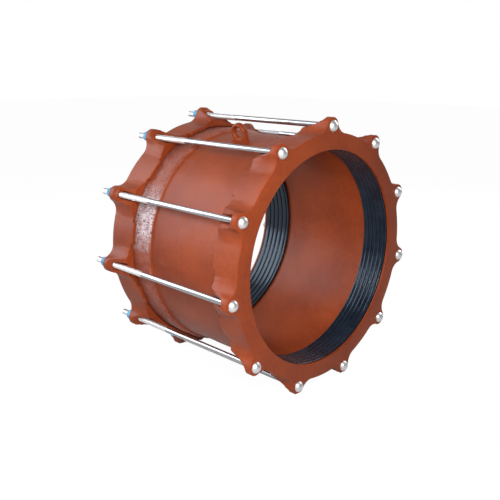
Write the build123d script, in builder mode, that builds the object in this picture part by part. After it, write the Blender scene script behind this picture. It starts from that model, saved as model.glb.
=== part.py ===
from build123d import *
import os
from math import atan2, cos, hypot, radians, sin, sqrt, tan

# A bolted wide-range pipe coupling, about 20 inch size.
# X runs along the pipe, with the bolt heads at the +X end, and Z points up.
# The origin is the centre of the pipe passage, at the middle of the centre sleeve.
# All sizes are in millimetres.

# Pipe passage through the gaskets
pipe_passage_dia = 552.0

# Centre sleeve
sleeve_length = 376.0
sleeve_bore_step = 7.0
sleeve_wall = 14.0
flare_rise = 9.0
flare_mouth_wall = 9.0
flare_shoulder = 9.0
nut_end_flare_length = 74.0
head_end_flare_length = 26.0
gasket_seat_depth = 42.0
parting_step = 0.8

# Lifting eye, cast on the sleeve between the top two tie bolts
eye_hole_dia = 30.0
eye_wall = 9.0
eye_thickness = 16.0
eye_hole_height = 24.0
eye_foot_fillet = 6.0
eye_foot_sink = 0.5

# End rings
ring_slip = 2.0
ring_wall = 11.0
ring_depth = 84.0
ring_flange = 12.0
ring_bore_relief = 8.0
ring_mouth_relief = 1.5
ring_mouth_depth = 7.0
skirt_draft = 3.0
ring_edge_fillet = 2.5
head_end_squeeze_gap = 31.0
nut_end_squeeze_gap = 49.0
tab_length = 8.0
tab_width = 58.0

# Bolt lugs on the rings
bolt_count = 11
bolt_standoff = 16.0
lug_hole_dia = 18.0
lug_hole_wall = 12.5
lug_flank_radius = 35.0
lug_seat_wall = 26.0
lug_top_length = 16.0
lug_rim_start = 32.0
lug_rim_height = 6.0
lug_toe_height = 9.0
lug_root_sink = 1.0
lug_toe_setback = 2.0
lug_slot_width = 24.0

# Tie bolts
bolt_thread_dia = 16.0
bolt_shank_dia = 14.7
bolt_thread_run = 200.0
bolt_end_past_nut = 30.0
bolt_end_chamfer = 1.5
bolt_head_dia = 29.0
bolt_head_height = 12.0
bolt_head_rim = 1.6
neck_length = 22.0
neck_width = 16.0
neck_depth = 7.0
neck_clearance = 0.5

# Hexagon nuts, tall ones with a round collar
nut_across_flats = 24.0
nut_height = 24.0
nut_collar_dia = 31.0
nut_collar_height = 4.0
nut_bore_clearance = 0.3
nut_chamfer_angle = 30.0
nut_face_share = 0.95
nut_turn_step = 23.0

# Gaskets
gasket_gap = 0.3
gasket_groove_count = 5
gasket_groove_width = 4.0
gasket_groove_depth = 2.5
gasket_tip_land = 6.0
gasket_lip_chamfer = 3.0
gasket_lip_rise = 2.0

# Radii that follow from the passage outwards
gasket_bore_radius = pipe_passage_dia / 2
ring_bore_radius = gasket_bore_radius + ring_bore_relief
ring_mouth_radius = gasket_bore_radius + ring_mouth_relief
sleeve_bore_radius = gasket_bore_radius + sleeve_bore_step
barrel_radius = sleeve_bore_radius + sleeve_wall
flare_radius = barrel_radius + flare_rise
mouth_radius = flare_radius - flare_mouth_wall
skirt_inner_radius = flare_radius + ring_slip
skirt_outer_radius = skirt_inner_radius + ring_wall
bolt_circle_radius = skirt_outer_radius + bolt_standoff
lug_tip_radius = lug_hole_dia / 2 + lug_hole_wall

# Places along the pipe that follow from the sleeve outwards
sleeve_end = sleeve_length / 2
seat_depth_from_middle = sleeve_end - gasket_seat_depth
head_flange_inside = sleeve_end + head_end_squeeze_gap
nut_flange_inside = sleeve_end + nut_end_squeeze_gap
head_face_x = head_flange_inside + ring_flange
nut_face_x = -(nut_flange_inside + ring_flange)
bolt_pitch_angle = 360.0 / bolt_count

os.makedirs("parts", exist_ok=True)


def around_pipe(index):
    """Location of one of the equal places around the pipe, starting at the top."""
    return Location((0, 0, 0), (-index * bolt_pitch_angle, 0, 0))


# Centre sleeve: the barrel with its flared ends is one turned profile
with BuildPart() as centre_sleeve:
    with BuildSketch(Plane.XZ) as sleeve_section:
        with BuildLine():
            Polyline(
                (-sleeve_end, mouth_radius),
                (-sleeve_end, flare_radius),
                (-sleeve_end + nut_end_flare_length, flare_radius),
                (-sleeve_end + nut_end_flare_length + flare_shoulder, barrel_radius),
                (0, barrel_radius),
                (0, barrel_radius + parting_step),
                (sleeve_end - head_end_flare_length - flare_shoulder, barrel_radius + parting_step),
                (sleeve_end - head_end_flare_length, flare_radius),
                (sleeve_end, flare_radius),
                (sleeve_end, mouth_radius),
                (seat_depth_from_middle, sleeve_bore_radius),
                (-seat_depth_from_middle, sleeve_bore_radius),
                close=True,
            )
        make_face()
    revolve(axis=Axis.X)

    # The lifting eye stands half a bolt pitch from the top, on the barrel's middle
    eye_angle = radians(bolt_pitch_angle / 2)
    eye_normal = (0, -cos(eye_angle), -sin(eye_angle))
    eye_hole_radius_from_axis = barrel_radius + eye_hole_height
    eye_half_width = eye_hole_dia / 2 + eye_wall
    eye_plane = Plane(origin=(0, 0, 0), x_dir=(1, 0, 0), z_dir=eye_normal)
    with BuildSketch(eye_plane) as eye_outline:
        with Locations((0, eye_hole_radius_from_axis)):
            Circle(eye_half_width)
        with Locations((0, barrel_radius - sleeve_wall / 2)):
            Rectangle(
                2 * eye_half_width,
                eye_hole_height + sleeve_wall / 2,
                align=(Align.CENTER, Align.MIN),
            )
        with Locations((0, barrel_radius - eye_foot_sink)):
            Rectangle(
                2 * (eye_half_width + 2 * eye_foot_fillet),
                sleeve_wall / 2 - eye_foot_sink,
                align=(Align.CENTER, Align.MAX),
            )
        foot_corners = eye_outline.vertices().group_by(Axis.Y)[1].sort_by(Axis.X)[1:3]
        fillet(foot_corners, radius=eye_foot_fillet)
        with Locations((0, eye_hole_radius_from_axis)):
            Circle(eye_hole_dia / 2, mode=Mode.SUBTRACT)
    extrude(amount=eye_thickness / 2, both=True)
centre_sleeve.part.label = "centre_sleeve"


# End ring casting, made with its lug face at x = 0 and its skirt towards -X
skirt_depth = ring_depth - tab_length
lug_depth = skirt_depth - lug_toe_setback

# A flank is one arc that runs smoothly into the lug's round tip and, just below its surface, the skirt
lug_root_radius = skirt_outer_radius - lug_root_sink
skirt_to_flank = lug_root_radius + lug_flank_radius
tip_to_flank = lug_tip_radius + lug_flank_radius
flank_z = (skirt_to_flank**2 - tip_to_flank**2 + bolt_circle_radius**2) / (2 * bolt_circle_radius)
flank_y = sqrt(skirt_to_flank**2 - flank_z**2)
root_y = flank_y * lug_root_radius / skirt_to_flank
root_z = flank_z * lug_root_radius / skirt_to_flank
join_y = flank_y * lug_tip_radius / tip_to_flank
join_z = bolt_circle_radius + (flank_z - bolt_circle_radius) * lug_tip_radius / tip_to_flank
chord_y = (root_y + join_y) / 2 - flank_y
chord_z = (root_z + join_z) / 2 - flank_z
arc_y = flank_y + chord_y * lug_flank_radius / hypot(chord_y, chord_z)
arc_z = flank_z + chord_z * lug_flank_radius / hypot(chord_y, chord_z)
lug_inside_z = sqrt((skirt_inner_radius + ring_wall / 3) ** 2 - root_y**2)
lug_top_z = bolt_circle_radius + lug_tip_radius

with BuildPart() as bolt_lug:
    # Rounded ear with hollow flanks
    with BuildSketch(Plane.YZ) as lug_outline:
        with BuildLine():
            ThreePointArc((-join_y, join_z), (0, lug_top_z), (join_y, join_z))
            ThreePointArc((join_y, join_z), (arc_y, arc_z), (root_y, root_z))
            Polyline((root_y, root_z), (root_y, lug_inside_z), (-root_y, lug_inside_z), (-root_y, root_z))
            ThreePointArc((-root_y, root_z), (-arc_y, arc_z), (-join_y, join_z))
        make_face()
    extrude(amount=-lug_depth)

    # The top drops to a low rim each side of the bolt, which slopes to the skirt's edge
    with BuildSketch(Plane.XZ) as lug_slope:
        with BuildLine():
            Polyline(
                (-lug_top_length, lug_top_z),
                (-lug_rim_start, bolt_circle_radius + lug_rim_height),
                (-lug_depth, skirt_outer_radius + lug_toe_height),
                (-lug_depth - lug_toe_height, skirt_outer_radius + lug_toe_height),
                (-lug_depth - lug_toe_height, lug_top_z + lug_toe_height),
                (-lug_top_length, lug_top_z + lug_toe_height),
                close=True,
            )
        make_face()
    extrude(amount=root_y, both=True, mode=Mode.SUBTRACT)

    # Cored slot behind the seat wall, open outwards, where the bolt lies
    with BuildSketch(Plane.YZ.offset(-lug_seat_wall)) as slot_section:
        with Locations((0, bolt_circle_radius)):
            Circle(lug_slot_width / 2)
            Rectangle(lug_slot_width, 2 * lug_tip_radius, align=(Align.CENTER, Align.MIN))
    extrude(amount=-lug_depth, mode=Mode.SUBTRACT)

    # Bolt hole through the seat wall, with an oval pocket for the bolt's neck
    with BuildSketch(Plane.YZ) as bolt_hole:
        with Locations((0, bolt_circle_radius)):
            Circle(lug_hole_dia / 2)
    extrude(amount=-lug_seat_wall, mode=Mode.SUBTRACT)
    with BuildSketch(Plane.YZ) as neck_pocket:
        with Locations((0, bolt_circle_radius)):
            SlotOverall(neck_length + 2 * neck_clearance, neck_width + 2 * neck_clearance, rotation=90)
    extrude(amount=-(neck_depth + neck_clearance), mode=Mode.SUBTRACT)

# Gap between two tabs on the skirt's edge, centred on a lug
tab_gap_width = 2 * skirt_outer_radius * sin(radians(bolt_pitch_angle / 2)) - tab_width
with BuildPart() as tab_gap:
    with BuildSketch(Plane.YZ.offset(-ring_depth - tab_length)) as gap_outline:
        with Locations((0, skirt_inner_radius * cos(radians(bolt_pitch_angle / 2)))):
            Rectangle(tab_gap_width, bolt_circle_radius, align=(Align.CENTER, Align.MIN))
    extrude(amount=2 * tab_length)

with BuildPart() as ring_casting:
    # Flange round the pipe opening, recessed for the gasket's lip, and the skirt that slides over the flare
    with BuildSketch(Plane.XZ) as ring_section:
        with BuildLine():
            Polyline(
                (0, ring_mouth_radius),
                (0, skirt_outer_radius),
                (-ring_depth, skirt_outer_radius - skirt_draft),
                (-ring_depth, skirt_inner_radius),
                (-ring_flange, skirt_inner_radius),
                (-ring_flange, ring_bore_radius),
                (-ring_mouth_depth, ring_bore_radius),
                (-ring_mouth_depth, ring_mouth_radius),
                close=True,
            )
        make_face()
        fillet(ring_section.vertices().group_by(Axis.X)[-1], radius=ring_edge_fillet)
    revolve(axis=Axis.X)

    # Short tabs are left on the skirt's edge, midway between the lugs
    with Locations(*[around_pipe(index) for index in range(bolt_count)]):
        add(tab_gap.part, mode=Mode.SUBTRACT)

    # One lug at each bolt
    with Locations(*[around_pipe(index) for index in range(bolt_count)]):
        add(bolt_lug.part)

with BuildPart() as head_end_ring:
    with Locations((head_face_x, 0, 0)):
        add(ring_casting.part)
head_end_ring.part.label = "head_end_ring"

with BuildPart() as nut_end_ring:
    with Locations((nut_face_x, 0, 0)):
        add(mirror(ring_casting.part, about=Plane.YZ, mode=Mode.PRIVATE))
nut_end_ring.part.label = "nut_end_ring"


def gasket_outline(flange_inside):
    """Corners of a gasket's section, as distance from the sleeve's middle and radius."""
    heel = flange_inside - gasket_gap
    tip = seat_depth_from_middle + gasket_gap
    lip = flange_inside + ring_flange - ring_mouth_depth - gasket_gap
    land_end = lip - gasket_lip_chamfer
    groove_zone = land_end - tip - gasket_tip_land
    groove_pitch = groove_zone / gasket_groove_count
    corners = [(tip, sleeve_bore_radius - gasket_gap), (tip, gasket_bore_radius)]
    for index in range(gasket_groove_count):
        start = tip + gasket_tip_land + index * groove_pitch
        corners += [
            (start, gasket_bore_radius),
            (start, gasket_bore_radius + gasket_groove_depth),
            (start + gasket_groove_width, gasket_bore_radius + gasket_groove_depth),
            (start + gasket_groove_width, gasket_bore_radius),
        ]
    corners += [
        (land_end, gasket_bore_radius),
        (lip, gasket_bore_radius + gasket_lip_rise),
        (lip, ring_bore_radius - gasket_gap),
        (heel, ring_bore_radius - gasket_gap),
        (heel, skirt_inner_radius - gasket_gap),
        (sleeve_end + gasket_gap, skirt_inner_radius - gasket_gap),
        (sleeve_end + gasket_gap, mouth_radius - gasket_gap),
    ]
    return corners


# Gaskets: a cone that wedges into the sleeve's flare, a heel against the ring, a ribbed bore,
# and a lip behind the ring's mouth
with BuildPart() as head_end_gasket:
    with BuildSketch(Plane.XZ) as head_gasket_section:
        with BuildLine():
            Polyline(*gasket_outline(head_flange_inside), close=True)
        make_face()
    revolve(axis=Axis.X)
head_end_gasket.part.label = "head_end_gasket"

with BuildPart() as nut_end_gasket:
    with BuildSketch(Plane.XZ) as nut_gasket_section:
        with BuildLine():
            Polyline(*[(-along, radius) for along, radius in gasket_outline(nut_flange_inside)], close=True)
        make_face()
    revolve(axis=Axis.X)
nut_end_gasket.part.label = "nut_end_gasket"


# Tie bolt: domed head, oval neck, plain shank and rolled thread, along the top of the coupling
bolt_end_x = nut_face_x - nut_height - bolt_end_past_nut
thread_start_x = bolt_end_x + bolt_thread_run
bolt_axis = Axis((0, 0, bolt_circle_radius), (1, 0, 0))
dome_height = bolt_head_height - bolt_head_rim
dome_radius = ((bolt_head_dia / 2) ** 2 + dome_height**2) / (2 * dome_height)
dome_middle_rise = sqrt(dome_radius**2 - (bolt_head_dia / 4) ** 2) - (dome_radius - dome_height)

with BuildPart() as top_bolt:
    with BuildSketch(Plane.XZ) as bolt_section:
        with BuildLine():
            Polyline(
                (head_face_x + bolt_head_height, bolt_circle_radius),
                (bolt_end_x, bolt_circle_radius),
                (bolt_end_x, bolt_circle_radius + bolt_thread_dia / 2 - bolt_end_chamfer),
                (bolt_end_x + bolt_end_chamfer, bolt_circle_radius + bolt_thread_dia / 2),
                (thread_start_x, bolt_circle_radius + bolt_thread_dia / 2),
                (thread_start_x, bolt_circle_radius + bolt_shank_dia / 2),
                (head_face_x, bolt_circle_radius + bolt_shank_dia / 2),
                (head_face_x, bolt_circle_radius + bolt_head_dia / 2),
                (head_face_x + bolt_head_rim, bolt_circle_radius + bolt_head_dia / 2),
            )
            ThreePointArc(
                (head_face_x + bolt_head_rim, bolt_circle_radius + bolt_head_dia / 2),
                (head_face_x + bolt_head_rim + dome_middle_rise, bolt_circle_radius + bolt_head_dia / 4),
                (head_face_x + bolt_head_height, bolt_circle_radius),
            )
        make_face()
    revolve(axis=bolt_axis)
    with BuildSketch(Plane.YZ.offset(head_face_x)) as bolt_neck:
        with Locations((0, bolt_circle_radius)):
            SlotOverall(neck_length, neck_width, rotation=90)
    extrude(amount=-neck_depth)

# Hexagon nut against the nut-end ring's top lug: a round collar, and a hexagon chamfered at its end
nut_corner_radius = nut_across_flats / (2 * cos(radians(30)))
nut_face_radius = nut_face_share * nut_across_flats / 2
nut_chamfer_depth = (nut_corner_radius - nut_face_radius) * tan(radians(nut_chamfer_angle))
nut_bore_radius = bolt_thread_dia / 2 + nut_bore_clearance

with BuildPart() as plain_nut:
    with BuildSketch(Plane.YZ) as nut_outline:
        RegularPolygon(nut_corner_radius, 6)
        Circle(nut_bore_radius, mode=Mode.SUBTRACT)
    extrude(amount=-nut_height)
    with BuildSketch(Plane.XZ) as nut_turned:
        with BuildLine():
            Polyline(
                (0, 0),
                (0, nut_corner_radius),
                (-nut_height + nut_chamfer_depth, nut_corner_radius),
                (-nut_height, nut_face_radius),
                (-nut_height, 0),
                close=True,
            )
        make_face()
    revolve(axis=Axis.X, mode=Mode.INTERSECT)
    with BuildSketch(Plane.YZ) as nut_collar:
        Circle(nut_collar_dia / 2)
        Circle(nut_bore_radius, mode=Mode.SUBTRACT)
    extrude(amount=-nut_collar_height)

# A bolt and a nut at each lug; the nuts stop wherever they came up tight
tie_bolts = []
hex_nuts = []
for index in range(bolt_count):
    with BuildPart() as tie_bolt:
        with Locations(around_pipe(index)):
            add(top_bolt.part)
    tie_bolt.part.label = f"tie_bolt_{index + 1:02d}"
    tie_bolts.append(tie_bolt.part)

    with BuildPart() as hex_nut:
        with Locations(around_pipe(index)):
            with Locations((nut_face_x, 0, bolt_circle_radius)):
                add(plain_nut.part, rotation=(index * nut_turn_step, 0, 0))
    hex_nut.part.label = f"hex_nut_{index + 1:02d}"
    hex_nuts.append(hex_nut.part)

castings = [centre_sleeve.part, head_end_ring.part, nut_end_ring.part]
gaskets = [head_end_gasket.part, nut_end_gasket.part]
for piece in castings + gaskets + tie_bolts + hex_nuts:
    export_step(piece, f"parts/{piece.label}.step")
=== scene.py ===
from math import atan2, cos, hypot, pi, radians, sin, sqrt

import bpy
from mathutils import Matrix, Vector


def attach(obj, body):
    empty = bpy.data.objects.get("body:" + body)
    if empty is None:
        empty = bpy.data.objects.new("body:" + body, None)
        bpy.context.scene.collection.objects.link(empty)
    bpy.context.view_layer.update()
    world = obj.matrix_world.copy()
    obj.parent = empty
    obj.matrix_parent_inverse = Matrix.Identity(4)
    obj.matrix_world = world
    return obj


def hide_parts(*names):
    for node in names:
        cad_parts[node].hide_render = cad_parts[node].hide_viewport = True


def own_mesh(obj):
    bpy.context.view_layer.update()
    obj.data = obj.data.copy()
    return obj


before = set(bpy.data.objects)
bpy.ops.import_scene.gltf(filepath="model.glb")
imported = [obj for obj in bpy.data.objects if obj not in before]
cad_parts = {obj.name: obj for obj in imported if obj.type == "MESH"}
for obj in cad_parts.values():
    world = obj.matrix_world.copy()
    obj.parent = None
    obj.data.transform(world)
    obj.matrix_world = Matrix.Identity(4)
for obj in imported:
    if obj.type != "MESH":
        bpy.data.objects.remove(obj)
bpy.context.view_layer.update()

# Centre sleeve: one ductile iron casting, a plain barrel whose ends flare to hold the gaskets.
# It is coated all over in red-brown epoxy. The nut end's flare was left rough from the sand,
# and a lifting eye stands on the barrel between the top two tie bolts.
sleeve_steps = 264
sleeve_section = [
    # x, radius, rounding
    (-0.188, 0.297, 0.0010),
    (-0.188, 0.306, 0.0025),
    (-0.1125, 0.306, 0.0045),
    (-0.1060, 0.297, 0.0090),
    (-0.001, 0.297, 0.0004),
    (0.0005, 0.2978, 0.0004),
    (0.153, 0.2978, 0.0120),
    (0.162, 0.306, 0.0060),
    (0.188, 0.306, 0.0025),
    (0.188, 0.297, 0.0010),
    (0.146, 0.283, 0.0080),
    (-0.146, 0.283, 0.0080),
]
eye_hole_radius = 0.015
eye_half_width = 0.024
eye_half_thickness = 0.008
eye_height = 0.321
eye_rim_from = 0.81
eye_edge = 0.0040
eye_foot_height = 0.290
eye_foot_spread = 0.010
eye_lean = pi / 11


def rounded(corners, steps=5):
    """The points of a closed outline whose corners (a, b, rounding) are rounded off."""
    points = []
    for n, (a, b, rounding) in enumerate(corners):
        before, after = corners[n - 1], corners[(n + 1) % len(corners)]
        ta, tb = before[0] - a, before[1] - b
        sa, sb = after[0] - a, after[1] - b
        t_length, s_length = hypot(ta, tb), hypot(sa, sb)
        ta, tb, sa, sb = ta / t_length, tb / t_length, sa / s_length, sb / s_length
        half = atan2(abs(ta * sb - tb * sa), ta * sa + tb * sb) / 2
        if half > pi / 2 - 0.01:
            points.append((a, b))
            continue
        back = min(rounding / abs(sin(half) / cos(half)), 0.45 * t_length, 0.45 * s_length)
        radius = back * sin(half) / cos(half)
        ma, mb = ta + sa, tb + sb
        m_length = hypot(ma, mb)
        ca, cb = a + ma / m_length * radius / sin(half), b + mb / m_length * radius / sin(half)
        start = atan2(b + tb * back - cb, a + ta * back - ca)
        turn = atan2(b + sb * back - cb, a + sa * back - ca) - start
        turn = (turn + pi) % (2 * pi) - pi
        for step in range(steps + 1):
            angle = start + turn * step / steps
            points.append((ca + radius * cos(angle), cb + radius * sin(angle)))
    return points


def choose(piece):
    """Makes this the only selected object, and the active one."""
    bpy.ops.object.select_all(action="DESELECT")
    piece.select_set(True)
    bpy.context.view_layer.objects.active = piece


def wire(name, points):
    """A wire ring whose vertices are pulled onto the points."""
    bpy.ops.object.select_all(action="DESELECT")
    bpy.ops.mesh.primitive_circle_add(vertices=len(points), radius=0.1)
    piece = bpy.context.object
    piece.name = name
    for vertex, point in zip(piece.data.vertices, points):
        vertex.co = point
    return piece


def turned(name, outline, steps, height=0.0):
    """A piece turned about the line along X at that height, from an outline of (x, radius)."""
    piece = wire(name, [(x, 0, height + radius) for x, radius in outline])
    bpy.ops.object.mode_set(mode="EDIT")
    bpy.ops.mesh.select_all(action="SELECT")
    bpy.ops.mesh.spin(steps=steps, angle=2 * pi, center=(0, 0, height), axis=(1, 0, 0))
    bpy.ops.mesh.select_all(action="SELECT")
    bpy.ops.mesh.remove_doubles(threshold=0.000002)
    bpy.ops.mesh.normals_make_consistent(inside=False)
    bpy.ops.object.mode_set(mode="OBJECT")
    return piece


def choose_faces(piece, test):
    """Goes into edit mode with only the faces selected that pass the test."""
    choose(piece)
    bpy.ops.object.mode_set(mode="EDIT")
    bpy.ops.mesh.select_mode(type="FACE")
    bpy.ops.mesh.select_all(action="DESELECT")
    bpy.ops.object.mode_set(mode="OBJECT")
    for face in piece.data.polygons:
        face.select = test(face)
    bpy.ops.object.mode_set(mode="EDIT")


def smooth(piece, angle=30):
    """Smooth shading, except over edges sharper than the angle."""
    choose(piece)
    bpy.ops.object.shade_smooth_by_angle(angle=radians(angle))


def finish_modifiers(piece):
    """Applies what modifiers the piece has."""
    choose(piece)
    for modifier in list(piece.modifiers):
        bpy.ops.object.modifier_apply(modifier=modifier.name)


def new_material(name):
    """A new material, its nodes and its shader."""
    material = bpy.data.materials.new(name)
    material.use_nodes = True
    nodes = material.node_tree.nodes
    return material, nodes, nodes["Principled BSDF"]


def link(material, source, output, target, socket):
    """Joins a node's output to another node's socket, each by its name or its number."""
    material.node_tree.links.new(source.outputs[output], target.inputs[socket])


def noise(material, place, output, scale, detail, roughness=0.5):
    """A noise pattern on the coordinates that the place gives."""
    node = material.node_tree.nodes.new("ShaderNodeTexNoise")
    node.inputs["Scale"].default_value = scale
    node.inputs["Detail"].default_value = detail
    node.inputs["Roughness"].default_value = roughness
    link(material, place, output, node, "Vector")
    return node


def ramp(material, pattern, low, high):
    """Colours over the pattern, from low to high, each a position and a colour."""
    node = material.node_tree.nodes.new("ShaderNodeValToRGB")
    for element, (position, colour) in zip(node.color_ramp.elements, (low, high)):
        element.position = position
        element.color = (*colour, 1)
    link(material, pattern, "Fac", node, "Fac")
    return node


def levels(material, source, output, start, end, low, high):
    """Turns the source's values from start to end into low to high."""
    node = material.node_tree.nodes.new("ShaderNodeMapRange")
    node.inputs["From Min"].default_value = start
    node.inputs["From Max"].default_value = end
    node.inputs["To Min"].default_value = low
    node.inputs["To Max"].default_value = high
    link(material, source, output, node, "Value")
    return node


def maths(material, operation, *values):
    """A Math node on numbers or on outputs, each given as a node and its output."""
    node = material.node_tree.nodes.new("ShaderNodeMath")
    node.operation = operation
    for n, value in enumerate(values):
        if isinstance(value, tuple):
            link(material, *value, node, n)
        else:
            node.inputs[n].default_value = value
    return node


def relief(material, pattern, strength, distance, under=None):
    """A bump from the pattern, on top of the bump under it."""
    node = material.node_tree.nodes.new("ShaderNodeBump")
    node.inputs["Strength"].default_value = strength
    node.inputs["Distance"].default_value = distance
    link(material, pattern, "Fac", node, "Height")
    if under:
        link(material, under, "Normal", node, "Normal")
    return node


def coating(name, rough_band=False):
    """Red-brown epoxy over cast iron, as seen on the sleeve and the rings."""
    material, nodes, shader = new_material(name)
    place = nodes.new("ShaderNodeTexCoord")

    # slow drift of the coat's colour, and finer mottling in it
    drift = noise(material, place, "Object", 7, 4)
    tones = ramp(material, drift, (0.32, (0.255, 0.040, 0.0084)), (0.70, (0.372, 0.065, 0.0138)))
    mottle = noise(material, place, "Object", 95, 6, 0.6)
    flecks = ramp(material, mottle, (0.30, (0.78, 0.74, 0.72)), (0.72, (1.0, 1.0, 1.0)))
    colour = nodes.new("ShaderNodeMix")
    colour.data_type = "RGBA"
    colour.blend_type = "MULTIPLY"
    colour.inputs["Factor"].default_value = 1.0
    link(material, tones, "Color", colour, "A")
    link(material, flecks, "Color", colour, "B")

    # gloss that varies from place to place
    gloss = levels(material, mottle, "Fac", 0.3, 0.7, 0.31, 0.49)

    # the casting's uneven skin, the coat's orange peel and its grain
    uneven = relief(material, noise(material, place, "Object", 16, 2), 0.6, 0.0030)
    peel = relief(material, noise(material, place, "Object", 130, 3), 0.6, 0.00045, uneven)
    surface = relief(material, noise(material, place, "Object", 700, 2), 0.6, 0.00010, peel)

    if rough_band:
        # the outside of the nut end's flare is rough as cast, as far as its shoulder
        split = nodes.new("ShaderNodeSeparateXYZ")
        link(material, place, "Object", split, "Vector")
        ragged = noise(material, place, "Object", 40, 3)
        edge = maths(material, "MULTIPLY_ADD", (ragged, "Fac"), 0.006, (split, "X"))
        along = levels(material, edge, "Value", -0.1064, -0.1052, 1.0, 0.0)
        across = nodes.new("ShaderNodeVectorMath")
        across.operation = "MULTIPLY"
        across.inputs[1].default_value = (0, 1, 1)
        link(material, place, "Object", across, 0)
        girth = nodes.new("ShaderNodeVectorMath")
        girth.operation = "LENGTH"
        link(material, across, "Vector", girth, 0)
        outside = maths(material, "GREATER_THAN", (girth, "Value"), 0.2976)
        band = maths(material, "MULTIPLY", (along, "Result"), (outside, "Value"))
        grain = noise(material, place, "Object", 270, 3, 0.6)
        surface = relief(material, grain, 1.0, 0.0013, surface)
        link(material, band, "Value", surface, "Strength")

        # painted sheen: the band's grain is painted pale where it faces the side between bolts
        # 09 and 10, in random patches, and only faintly elsewhere
        facing = nodes.new("ShaderNodeVectorMath")
        facing.operation = "DOT_PRODUCT"
        facing.inputs[1].default_value = (0, -0.956, 0.292)
        link(material, place, "Object", facing, 0)
        painted_sheen_side = levels(material, facing, "Value", 0.2915, 0.3045, 0.12, 0.95)
        patches = noise(material, place, "Object", 70, 3)
        sheen_patches = levels(material, patches, "Fac", 0.38, 0.58, 0.50, 1.0)
        grit_and_sheen = maths(material, "MULTIPLY", (painted_sheen_side, "Result"), (sheen_patches, "Result"))
        grit_and_sheen = maths(material, "MULTIPLY", (grit_and_sheen, "Value"), (band, "Value"))
        # the grit's pale grains are painted glints, and its dark grains are the rough casting's
        # own speckle
        grit_and_glints = ramp(material, grain, (0.425, (0.13, 0.05, 0.045)), (0.475, (0.70, 0.59, 0.63)))
        coat = nodes.new("ShaderNodeMix")
        coat.data_type = "RGBA"
        link(material, grit_and_sheen, "Value", coat, "Factor")
        link(material, colour, "Result", coat, "A")
        link(material, grit_and_glints, "Color", coat, "B")
        colour = coat

    link(material, colour, "Result", shader, "Base Color")
    link(material, gloss, "Result", shader, "Roughness")
    link(material, surface, "Normal", shader, "Normal")
    shader.inputs["Specular IOR Level"].default_value = 0.28
    return material


sleeve = turned("coated_sleeve", rounded(sleeve_section), sleeve_steps)

# The eye starts as a short cylinder across the barrel. Its caps are inset and bridged into
# the hole, its edges rounded, and its lower half pulled down to a spread foot in the wall.
bpy.ops.object.select_all(action="DESELECT")
bpy.ops.mesh.primitive_cylinder_add(
    vertices=48,
    radius=eye_half_width,
    depth=2 * eye_half_thickness,
    location=(0, 0, eye_height),
    rotation=(pi / 2, 0, 0),
)
eye = bpy.context.object
bpy.ops.object.transform_apply(location=True, rotation=True, scale=True)
choose_faces(eye, lambda face: abs(face.normal.y) > 0.9)
bpy.ops.mesh.inset(thickness=eye_half_width - eye_hole_radius, use_boundary=True)
bpy.ops.mesh.bridge_edge_loops()
bpy.ops.object.mode_set(mode="OBJECT")
soft_edge = eye.modifiers.new("soft_edge", "BEVEL")
soft_edge.width = eye_edge
soft_edge.segments = 4
soft_edge.limit_method = "ANGLE"
soft_edge.angle_limit = radians(50)
finish_modifiers(eye)
# most of each lower quarter becomes a side that spreads at its end, and the rest the foot
side_part = 0.6
spread_from = 0.72
for vertex in eye.data.vertices:
    x, y, z = vertex.co
    reach = hypot(x, z - eye_height) / eye_half_width
    if z < eye_height - 0.0001 and reach > eye_rim_from:
        quarter = atan2(eye_height - z, abs(x)) / (pi / 2)
        down = min(quarter / side_part, 1)
        spread = eye_foot_spread * max(down - spread_from, 0) / (1 - spread_from)
        across = min((1 - quarter) / (1 - side_part), 1) * (eye_half_width + spread) * reach
        drop = down * (eye_height - eye_foot_height) * reach
        vertex.co = (across if x > 0 else -across, y, eye_height - drop)
eye.data.transform(Matrix.Rotation(eye_lean, 4, "X"))

weld = sleeve.modifiers.new("weld", "BOOLEAN")
weld.operation = "UNION"
weld.solver = "EXACT"
weld.object = eye
finish_modifiers(sleeve)
bpy.data.objects.remove(eye)
smooth(sleeve, 32)
sleeve.data.materials.append(coating("sleeve_coating", rough_band=True))
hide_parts("centre_sleeve")
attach(sleeve, "sleeve")


# End rings: two like ductile iron castings, each a flat flange with a skirt behind it.
# Eleven lugs carry the tie bolts, with an open trough behind each bolt hole, and the skirt
# keeps short tabs between them. One eleventh is modelled, copied round and welded to a ring.
ring_mouth = 0.2775
ring_bore = 0.284
skirt_inside = 0.308
skirt_outside = 0.319
skirt_draft = 0.003
bolt_circle = 0.335
lug_tip = 0.0215
lug_flank = 0.035
lug_reach = 0.08
trough_radius = 0.012
lug_count = 11
pitch = 2 * pi / lug_count
head_face = 0.231
nut_face = -0.249
mouth_back = -0.007
flange_back = -0.012
lug_tops = [
    # depth behind the face, height of the lug there
    (-0.016, 0.3565),
    (-0.026, 0.3462),
    (-0.032, 0.3410),
    (-0.050, 0.3354),
    (-0.074, 0.3280),
]
skirt_edge = -0.076
tab_edge = -0.084
tab_half_width = 0.029
tab_from = pitch / 2 - tab_half_width / skirt_outside
trough_cut_above = 0.332
flank_hollow = 0.25
ring_edge = 0.0021

# the hollow flank is an arc that touches both the lug's round tip and the skirt
to_skirt = skirt_outside + lug_flank
to_tip = lug_tip + lug_flank
flank_up = (to_skirt**2 - to_tip**2 + bolt_circle**2) / (2 * bolt_circle)
flank_out = sqrt(to_skirt**2 - flank_up**2)
tip_end = atan2(flank_out, flank_up - bolt_circle)

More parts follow.
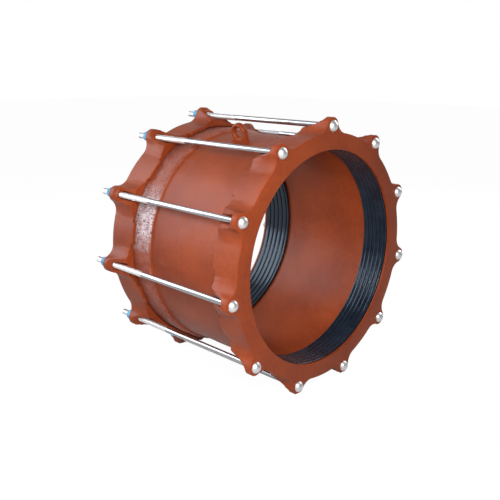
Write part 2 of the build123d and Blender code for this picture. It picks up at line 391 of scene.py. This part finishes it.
# half of the lug's outline, as distance sideways and upwards
trough_steps = [0, 0.0045, 0.0085, 0.0110, trough_radius]
half_outline = [(out, bolt_circle + sqrt(lug_tip**2 - out**2)) for out in trough_steps]
tip_start = atan2(trough_radius, sqrt(lug_tip**2 - trough_radius**2))
for step in range(1, 8):
    turn = tip_start + (tip_end - tip_start) * step / 7
    half_outline.append((lug_tip * sin(turn), bolt_circle + lug_tip * cos(turn)))
flank_start = atan2(bolt_circle - flank_up, -flank_out) % (2 * pi)
flank_end = atan2(-flank_up, -flank_out) % (2 * pi)
for step in range(1, 10):
    turn = flank_start + (flank_end - flank_start) * step / 9
    half_outline.append((flank_out + lug_flank * cos(turn), flank_up + lug_flank * sin(turn)))

# columns of (angle round the pipe, outer radius, radius of the trough's floor)
columns = []
for n, (out, up) in enumerate(half_outline):
    radius = hypot(out, up)
    trough_floor = skirt_outside + flank_hollow * (radius - skirt_outside)
    if n < len(trough_steps):
        trough_floor = hypot(out, bolt_circle - sqrt(trough_radius**2 - out**2))
    columns.append((atan2(out, up), radius, trough_floor))
root_angle = columns.pop()[0]
columns.append((root_angle, skirt_outside, skirt_outside))
for angle in ((root_angle + tab_from) / 2, tab_from):
    columns.append((angle, skirt_outside, skirt_outside))
for step in range(1, 5):
    columns.append((tab_from + (pitch / 2 - tab_from) * step / 4, skirt_outside, skirt_outside))
columns = [(-angle, *radii) for angle, *radii in reversed(columns[1:])] + columns

# the sector's front face is a grid, pulled to shape column by column
bpy.ops.object.select_all(action="DESELECT")
bpy.ops.mesh.primitive_grid_add(x_subdivisions=len(columns) - 1, y_subdivisions=5, size=0.1)
sector = bpy.context.object
for n, vertex in enumerate(sector.data.vertices):
    angle, radius, trough_floor = columns[n % len(columns)]
    rows = (ring_mouth, ring_bore, skirt_inside, skirt_outside, trough_floor, radius)
    height = rows[n // len(columns)]
    vertex.co = (0, height * sin(angle), height * cos(angle))


def push_back(piece, start, depth, test=lambda angle, radius: True):
    """Extrudes the faces that lie at start, and pass the test, to the new depth."""

    def at_start(face):
        x, y, z = face.center
        return abs(x - start) < 0.0001 and test(atan2(y, z), hypot(y, z))

    choose_faces(piece, at_start)
    bpy.ops.mesh.extrude_region_move(TRANSFORM_OT_translate={"value": (depth - start, 0, 0)})
    bpy.ops.object.mode_set(mode="OBJECT")


def lower_top(piece, depth, top):
    """Flattens the lug at that depth, so that nothing stands above the top."""
    for vertex in piece.data.vertices:
        x, y, z = vertex.co
        if abs(x - depth) < 0.0001 and z > top and abs(y) < lug_reach:
            vertex.co = (x, y, top)


trough_angle = columns[len(columns) // 2 + len(trough_steps) - 1][0]
push_back(sector, 0, mouth_back)
push_back(sector, mouth_back, flange_back, lambda angle, radius: radius > ring_bore)
push_back(sector, flange_back, lug_tops[0][0], lambda angle, radius: radius > skirt_inside)
push_back(sector, lug_tops[0][0], lug_tops[1][0])
lower_top(sector, *lug_tops[1])
push_back(
    sector,
    lug_tops[1][0],
    lug_tops[2][0],
    lambda angle, radius: abs(angle) > trough_angle or radius < trough_cut_above,
)
lower_top(sector, *lug_tops[2])
for (start, _), (depth, top) in zip(lug_tops[2:], lug_tops[3:]):
    push_back(sector, start, depth)
    lower_top(sector, depth, top)
push_back(sector, lug_tops[-1][0], skirt_edge, lambda angle, radius: radius < skirt_outside)
push_back(
    sector,
    skirt_edge,
    tab_edge,
    lambda angle, radius: radius < skirt_outside and abs(angle) > tab_from,
)
for vertex in sector.data.vertices:
    x, y, z = vertex.co
    radius = hypot(y, z)
    if abs(radius - skirt_outside) < 0.00001:
        scale = (radius + skirt_draft * x / -tab_edge) / radius
        vertex.co = (x, y * scale, z * scale)

# the two cut sides are left open, so that the copies can be welded there
choose_faces(
    sector,
    lambda face: abs(abs(atan2(face.center.y, face.center.z)) - pitch / 2) < 0.0002,
)
bpy.ops.mesh.delete(type="FACE")
bpy.ops.mesh.select_all(action="SELECT")
bpy.ops.mesh.remove_doubles(threshold=0.00002)
bpy.ops.mesh.dissolve_degenerate(threshold=0.00002)
bpy.ops.mesh.select_all(action="SELECT")
bpy.ops.mesh.normals_make_consistent(inside=False)
bpy.ops.object.mode_set(mode="OBJECT")
round_edges = sector.modifiers.new("round_edges", "BEVEL")
round_edges.width = ring_edge
round_edges.segments = 3
round_edges.limit_method = "ANGLE"
round_edges.angle_limit = radians(38)
finish_modifiers(sector)

for n in range(1, lug_count):
    copy = sector.copy()
    copy.data = sector.data.copy()
    copy.data.transform(Matrix.Rotation(-n * pitch, 4, "X"))
    bpy.context.scene.collection.objects.link(copy)
    copy.select_set(True)
bpy.context.view_layer.objects.active = sector
sector.select_set(True)
bpy.ops.object.join()
head_ring = sector
head_ring.name = "coated_head_end_ring"
bpy.ops.object.mode_set(mode="EDIT")
bpy.ops.mesh.select_all(action="SELECT")
bpy.ops.mesh.remove_doubles(threshold=0.00002)
bpy.ops.mesh.normals_make_consistent(inside=False)
bpy.ops.object.mode_set(mode="OBJECT")
nut_ring = head_ring.copy()
nut_ring.data = head_ring.data.copy()
nut_ring.name = "coated_nut_end_ring"
bpy.context.scene.collection.objects.link(nut_ring)
nut_ring.data.transform(Matrix.Scale(-1, 4, (1, 0, 0)))
nut_ring.data.flip_normals()
ring_coating = coating("ring_coating")
for ring, face, body, node in (
    (head_ring, head_face, "head_end", "head_end_ring"),
    (nut_ring, nut_face, "nut_end", "nut_end_ring"),
):
    ring.data.transform(Matrix.Translation((face, 0, 0)))
    smooth(ring, 40)
    ring.data.materials.append(ring_coating)
    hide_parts(node)
    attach(ring, body)


# Gaskets: two moulded black rubber rings. Each has a cone that wedges into the sleeve's
# flare, a heel against the ring's flange and a bore with soft sealing ribs.
# The real ones are squeezed shorter along the pipe as the nuts are turned; here each keeps one
# length.
gasket_bore = 0.276
gasket_tip = 0.1463
gasket_tip_outside = 0.2827
gasket_tip_land = 0.006
gasket_cone_end = 0.1883
gasket_cone_outside = 0.2967
gasket_heel_outside = 0.3077
gasket_lip_outside = 0.2837
gasket_lip_gap = 0.0003
gasket_lip = 0.0022
gasket_lip_chamfer = 0.0012
gasket_ribs = 5
rib_groove = 0.0042
rib_groove_depth = 0.0028
rib_slope = 0.0009


def gasket_section(heel):
    """Corners (x, radius, rounding) of a gasket whose heel lies that far from the middle."""
    lip = heel + gasket_lip_gap + gasket_lip
    land_end = lip - gasket_lip_chamfer
    step = (land_end - gasket_tip - gasket_tip_land) / gasket_ribs
    corners = [(gasket_tip, gasket_tip_outside, 0.001), (gasket_tip, gasket_bore, 0.0012)]
    for n in range(gasket_ribs):
        start = gasket_tip + gasket_tip_land + n * step
        groove_floor = gasket_bore + rib_groove_depth
        corners += [
            (start, gasket_bore, 0.0022),
            (start + rib_slope, groove_floor, 0.0010),
            (start + rib_groove - rib_slope, groove_floor, 0.0010),
            (start + rib_groove, gasket_bore, 0.0022),
        ]
    return corners + [
        (land_end, gasket_bore, 0.002),
        (lip, gasket_bore + gasket_lip_chamfer, 0.0006),
        (lip, gasket_lip_outside, 0.0008),
        (heel, gasket_lip_outside, 0.0003),
        (heel, gasket_heel_outside, 0.002),
        (gasket_cone_end, gasket_heel_outside, 0.001),
        (gasket_cone_end, gasket_cone_outside, 0.001),
    ]


rubber, rubber_nodes, rubber_shader = new_material("moulded_rubber")
rubber_place = rubber_nodes.new("ShaderNodeTexCoord")
bloom = noise(rubber, rubber_place, "Object", 22, 6)
rubber_tones = ramp(
    rubber,
    bloom,
    (0.35, (0.007, 0.012, 0.022)),
    (0.72, (0.016, 0.026, 0.044)),
)
link(rubber, rubber_tones, "Color", rubber_shader, "Base Color")
rubber_gloss = levels(rubber, bloom, "Fac", 0.35, 0.65, 0.10, 0.24)
link(rubber, rubber_gloss, "Result", rubber_shader, "Roughness")
rubber_shader.inputs["Specular IOR Level"].default_value = 0.50
rubber_shader.inputs["Specular Tint"].default_value = (0.72, 0.86, 1.0, 1)
skin = relief(rubber, noise(rubber, rubber_place, "Object", 240, 3), 0.5, 0.0003)
link(rubber, skin, "Normal", rubber_shader, "Normal")

for name, node, joint, side, heel in (
    ("rubber_head_end_gasket", "head_end_gasket", "head_ring_slide", 1, 0.2187),
    ("rubber_nut_end_gasket", "nut_end_gasket", "nut_ring_slide", -1, 0.2367),
):
    section = [(side * x, radius, rounding) for x, radius, rounding in gasket_section(heel)]
    gasket = turned(name, rounded(section, 3), 220)
    smooth(gasket, 40)
    gasket.data.materials.append(rubber)
    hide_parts(node)
    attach(gasket, "sleeve")
    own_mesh(gasket)


# Tie bolts: eleven long bright stainless bolts with a low domed head, a plain shank drawn
# a little thinner than the thread, and a rolled thread that runs far past the nut.
bolt_end = -0.3029
thread_start = -0.103
thread_pitch = 0.002
thread_crest = 0.00795
thread_root = 0.0068
thread_tip = 0.0064
shank_radius = 0.00735
head_radius = 0.0145
head_height = 0.012
head_rim = 0.0016
dome_rise = head_height - head_rim
dome_radius = (head_radius**2 + dome_rise**2) / (2 * dome_rise)
dome_reach = atan2(head_radius, dome_radius - dome_rise)
dome_section = [(0.0, head_radius - 0.0006), (0.0006, head_radius), (head_rim, head_radius)]
for step in range(1, 12):
    turn = dome_reach * (1 - step / 12)
    along = head_height - dome_radius + dome_radius * cos(turn)
    dome_section.append((along, dome_radius * sin(turn)))


def stainless(name, tones, gloss, grain):
    """Stainless steel whose tones and roughness vary with the grain along the bolt."""
    material, nodes, shader = new_material(name)
    place = nodes.new("ShaderNodeTexCoord")
    drawn = nodes.new("ShaderNodeMapping")
    drawn.inputs["Scale"].default_value = grain
    link(material, place, "Object", drawn, "Vector")
    marks = noise(material, drawn, "Vector", 420, 2)
    dull, bright = [(tone, tone, tone + 0.02) for tone in tones]
    colour = ramp(material, marks, (0.3, dull), (0.7, bright))
    roughness = levels(material, marks, "Fac", 0, 1, *gloss)
    scratches = relief(material, marks, 0.2, 0.00005)
    link(material, colour, "Color", shader, "Base Color")
    link(material, roughness, "Result", shader, "Roughness")
    link(material, scratches, "Normal", shader, "Normal")
    shader.inputs["Metallic"].default_value = 1.0
    return material


# head
bolt = turned(
    "stainless_tie_bolt_01",
    [(head_face + x, radius) for x, radius in dome_section + [(head_height, 0), (0, 0)]],
    40,
    bolt_circle,
)
# shank
bpy.ops.mesh.primitive_cylinder_add(
    vertices=32,
    radius=shank_radius,
    depth=head_face - thread_start + 0.002,
    location=((head_face + thread_start) / 2, 0, bolt_circle),
    rotation=(0, pi / 2, 0),
)
shank = bpy.context.object
bpy.ops.object.transform_apply(location=True, rotation=True, scale=True)
# thread, one turn of its profile wound along the bolt
turns = round((thread_start - bolt_end) / thread_pitch) + 2
profile = [
    # distance along the bolt, radius
    (0.0, thread_crest),
    (0.0003, thread_crest),
    (0.0009, thread_root),
    (0.0012, thread_root),
    (thread_pitch, thread_crest),
]
thread = wire("thread", [(bolt_end - thread_pitch + x, 0, radius) for x, radius in profile])
bpy.ops.object.mode_set(mode="EDIT")
bpy.ops.mesh.select_mode(type="EDGE")
bpy.ops.mesh.select_all(action="DESELECT")
bpy.ops.object.mode_set(mode="OBJECT")
for edge in thread.data.edges:
    edge.select = set(edge.vertices) == {0, len(profile) - 1}
bpy.ops.object.mode_set(mode="EDIT")
bpy.ops.mesh.delete(type="EDGE")
bpy.ops.object.mode_set(mode="OBJECT")
wind = thread.modifiers.new("wind", "SCREW")
wind.axis = "X"
wind.screw_offset = thread_pitch
wind.iterations = turns
wind.steps = 20
wind.render_steps = 20
wind.use_merge_vertices = True
wind.merge_threshold = 0.000005
finish_modifiers(thread)
bpy.ops.object.mode_set(mode="EDIT")
bpy.ops.mesh.select_all(action="SELECT")
bpy.ops.mesh.remove_doubles(threshold=0.000005)
for plane, outwards in ((bolt_end, -1), (thread_start, 1)):
    bpy.ops.mesh.select_all(action="SELECT")
    bpy.ops.mesh.bisect(
        plane_co=(plane, 0, 0),
        plane_no=(outwards, 0, 0),
        use_fill=True,
        clear_outer=True,
    )
bpy.ops.mesh.select_all(action="SELECT")
bpy.ops.mesh.normals_make_consistent(inside=False)
bpy.ops.object.mode_set(mode="OBJECT")
# the first threads are chamfered at the bolt's end
for vertex in thread.data.vertices:
    x, y, z = vertex.co
    limit = thread_tip + max(x - bolt_end, 0) * 0.9
    if hypot(y, z) > limit:
        scale = limit / hypot(y, z)
        vertex.co = (x, y * scale, z * scale)
thread.data.transform(Matrix.Translation((0, 0, bolt_circle)))
choose(bolt)
shank.select_set(True)
thread.select_set(True)
bpy.ops.object.join()
smooth(bolt, 35)
bolt.data.materials.clear()
drawn_steel = stainless("drawn_stainless", (0.42, 0.54), (0.08, 0.13), (0.08, 1, 1))
satin_steel = stainless("satin_stainless", (0.80, 0.94), (0.34, 0.46), (1, 1, 1))
bolt.data.materials.append(drawn_steel)
bolt.data.materials.append(satin_steel)
# the shank is drawn bright, and the head and the thread are satin
for face in bolt.data.polygons:
    face.material_index = 0 if thread_start < face.center.x < head_face else 1
bolts = [bolt]
for n in range(1, lug_count):
    copy = bolt.copy()
    copy.data = bolt.data.copy()
    copy.name = f"stainless_tie_bolt_{n + 1:02d}"
    copy.data.transform(Matrix.Rotation(-n * pitch, 4, "X"))
    bpy.context.scene.collection.objects.link(copy)
    bolts.append(copy)
for n, piece in enumerate(bolts):
    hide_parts(f"tie_bolt_{n + 1:02d}")
    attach(piece, "head_end")


# Nuts: eleven tall hexagon nuts with a collar, in a light blue low-friction coat, tightened
# onto the nut-end ring's lugs. Each copies the CAD nut and gets softened edges.
nut_edge = 0.0004
nut_blue, blue_nodes, blue_shader = new_material("blue_nut_coat")
blue_place = blue_nodes.new("ShaderNodeTexCoord")
blue_wear = noise(nut_blue, blue_place, "Object", 260, 5)
blue_tones = ramp(
    nut_blue,
    blue_wear,
    (0.33, (0.045, 0.290, 0.560)),
    (0.62, (0.105, 0.470, 0.760)),
)
link(nut_blue, blue_tones, "Color", blue_shader, "Base Color")
blue_gloss = levels(nut_blue, blue_wear, "Fac", 0, 1, 0.30, 0.50)
link(nut_blue, blue_gloss, "Result", blue_shader, "Roughness")
blue_relief = relief(nut_blue, blue_wear, 0.3, 0.0002)
link(nut_blue, blue_relief, "Normal", blue_shader, "Normal")

for n in range(1, lug_count + 1):
    node = f"hex_nut_{n:02d}"
    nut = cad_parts[node].copy()
    nut.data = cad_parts[node].data.copy()
    for key in list(nut.keys()):
        del nut[key]
    nut.parent = None
    nut.name = f"blue_nut_{n:02d}"
    bpy.context.scene.collection.objects.link(nut)
    choose(nut)
    bpy.ops.object.mode_set(mode="EDIT")
    bpy.ops.mesh.select_all(action="SELECT")
    bpy.ops.mesh.remove_doubles(threshold=0.000005)
    bpy.ops.mesh.dissolve_limited(angle_limit=radians(1))
    bpy.ops.object.mode_set(mode="OBJECT")
    soften = nut.modifiers.new("soften", "BEVEL")
    soften.width = nut_edge
    soften.segments = 2
    soften.limit_method = "ANGLE"
    soften.angle_limit = radians(35)
    finish_modifiers(nut)
    smooth(nut, 35)
    nut.data.materials.clear()
    nut.data.materials.append(nut_blue)
    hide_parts(node)
    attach(nut, node)


# Floor: a plain white sheet under the two lowest lugs. The camera sees it nearly white, with
# the object's soft shadow left in it, and the coat and the metal mirror it dimmer.
floor_height = -0.3403
bpy.ops.mesh.primitive_plane_add(size=30, location=(0, 0, floor_height))
sheet = bpy.context.object
sheet.name = "white_floor"
white, white_nodes, white_shader = new_material("white_floor")
white_shader.inputs["Base Color"].default_value = (0.50, 0.50, 0.50, 1)
white_shader.inputs["Roughness"].default_value = 0.9
white_shader.inputs["Specular IOR Level"].default_value = 0.0
glow = white_nodes.new("ShaderNodeEmission")
glow.inputs["Strength"].default_value = 1.12
rays = white_nodes.new("ShaderNodeLightPath")
seen = maths(white, "MULTIPLY_ADD", (rays, "Is Glossy Ray"), 0.32, (rays, "Is Camera Ray"))
seen = maths(white, "ADD", (seen, "Value"), (rays, "Is Transmission Ray"))
seen.use_clamp = True
glow_share = maths(white, "MULTIPLY", (seen, "Value"), 0.86)
lit_and_glowing = white_nodes.new("ShaderNodeMixShader")
link(white, glow_share, "Value", lit_and_glowing, "Fac")
link(white, white_shader, "BSDF", lit_and_glowing, 1)
link(white, glow, "Emission", lit_and_glowing, 2)
link(white, lit_and_glowing, "Shader", white_nodes["Material Output"], "Surface")
sheet.data.materials.append(white)


# Room: the camera sees plain white all round. What lights the object is a pale room that is
# brightest low on the left and dimmest overhead on the right, and mirrors see it brighter.
world = bpy.data.worlds.new("pale_room")
bpy.context.scene.world = world
world.use_nodes = True
room_nodes = world.node_tree.nodes
room = room_nodes["Background"]
room.inputs["Color"].default_value = (1, 1, 1, 1)
room_place = room_nodes.new("ShaderNodeTexCoord")
room_slant = room_nodes.new("ShaderNodeVectorMath")
room_slant.operation = "DOT_PRODUCT"
room_slant.inputs[1].default_value = (-0.62, -0.48, -0.62)
link(world, room_place, "Generated", room_slant, 0)
room_level = levels(world, room_slant, "Value", -0.9, 0.9, 0.15, 0.56)
room_rays = room_nodes.new("ShaderNodeLightPath")
mirror_gain = maths(world, "MULTIPLY_ADD", (room_rays, "Is Glossy Ray"), 0.5, 1.0)
room_level = maths(world, "MULTIPLY", (room_level, "Result"), (mirror_gain, "Value"))
for kind in ("Is Camera Ray", "Is Transmission Ray"):
    room_level = maths(world, "MAXIMUM", (room_level, "Value"), (room_rays, kind))
link(world, room_level, "Value", room, "Strength")


# Lamps: a broad soft one off to the left, whose sheen lies along the barrel, a weaker one
# that fills the far side, and a smaller one in front for the ring's face and the passage.
def lamp(name, place, width, height, power, colour):
    """A soft lamp turned towards the middle of the object."""
    light = bpy.data.lights.new(name, "AREA")
    light.shape = "RECTANGLE"
    light.size = width
    light.size_y = height
    light.energy = power
    light.color = colour
    piece = bpy.data.objects.new(name, light)
    bpy.context.scene.collection.objects.link(piece)
    piece.rotation_euler = Vector(place).to_track_quat("Z", "Y").to_euler()
    piece.location = place


lamp("side_lamp", (-2.0, -1.35, 1.0), 1.3, 2.3, 36, (0.84, 0.92, 1))
lamp("back_lamp", (0.3, 2.5, 1.5), 1.6, 1.6, 34, (1, 0.98, 0.95))
lamp("front_lamp", (1.0, -1.1, 0.6), 0.5, 0.5, 22, (1, 0.98, 0.95))


# Camera: ahead of the bolt heads, off to one side and a little above the pipe's axis. Its
# place, turn and lens were fitted to the bolts and the eye as the photograph shows them.
photo_width = 500
focal_length_in_photo = 689.03
camera_place = (1.2768, -1.3429, 0.4646)
camera_turn, camera_dip, camera_roll = radians(45.474), radians(14.701), radians(0.95)
camera_data = bpy.data.cameras.new("camera")
camera_data.sensor_width = 36
camera_data.lens = camera_data.sensor_width * focal_length_in_photo / photo_width
camera_data.clip_end = 60
camera = bpy.data.objects.new("camera", camera_data)
bpy.context.scene.collection.objects.link(camera)
ahead = Vector(
    (
        -cos(camera_turn) * cos(camera_dip),
        sin(camera_turn) * cos(camera_dip),
        -sin(camera_dip),
    )
)
level = Vector((sin(camera_turn), cos(camera_turn), 0))
upright = level.cross(ahead)
right = cos(camera_roll) * level + sin(camera_roll) * upright
up = -sin(camera_roll) * level + cos(camera_roll) * upright
stand = Matrix((right, up, -ahead)).transposed().to_4x4()
stand.translation = camera_place
camera.matrix_world = stand
bpy.context.scene.camera = camera
bpy.context.scene.view_settings.view_transform = "Standard"


def corners(limits):
    return [[float(value) for value in corner] for corner in limits]
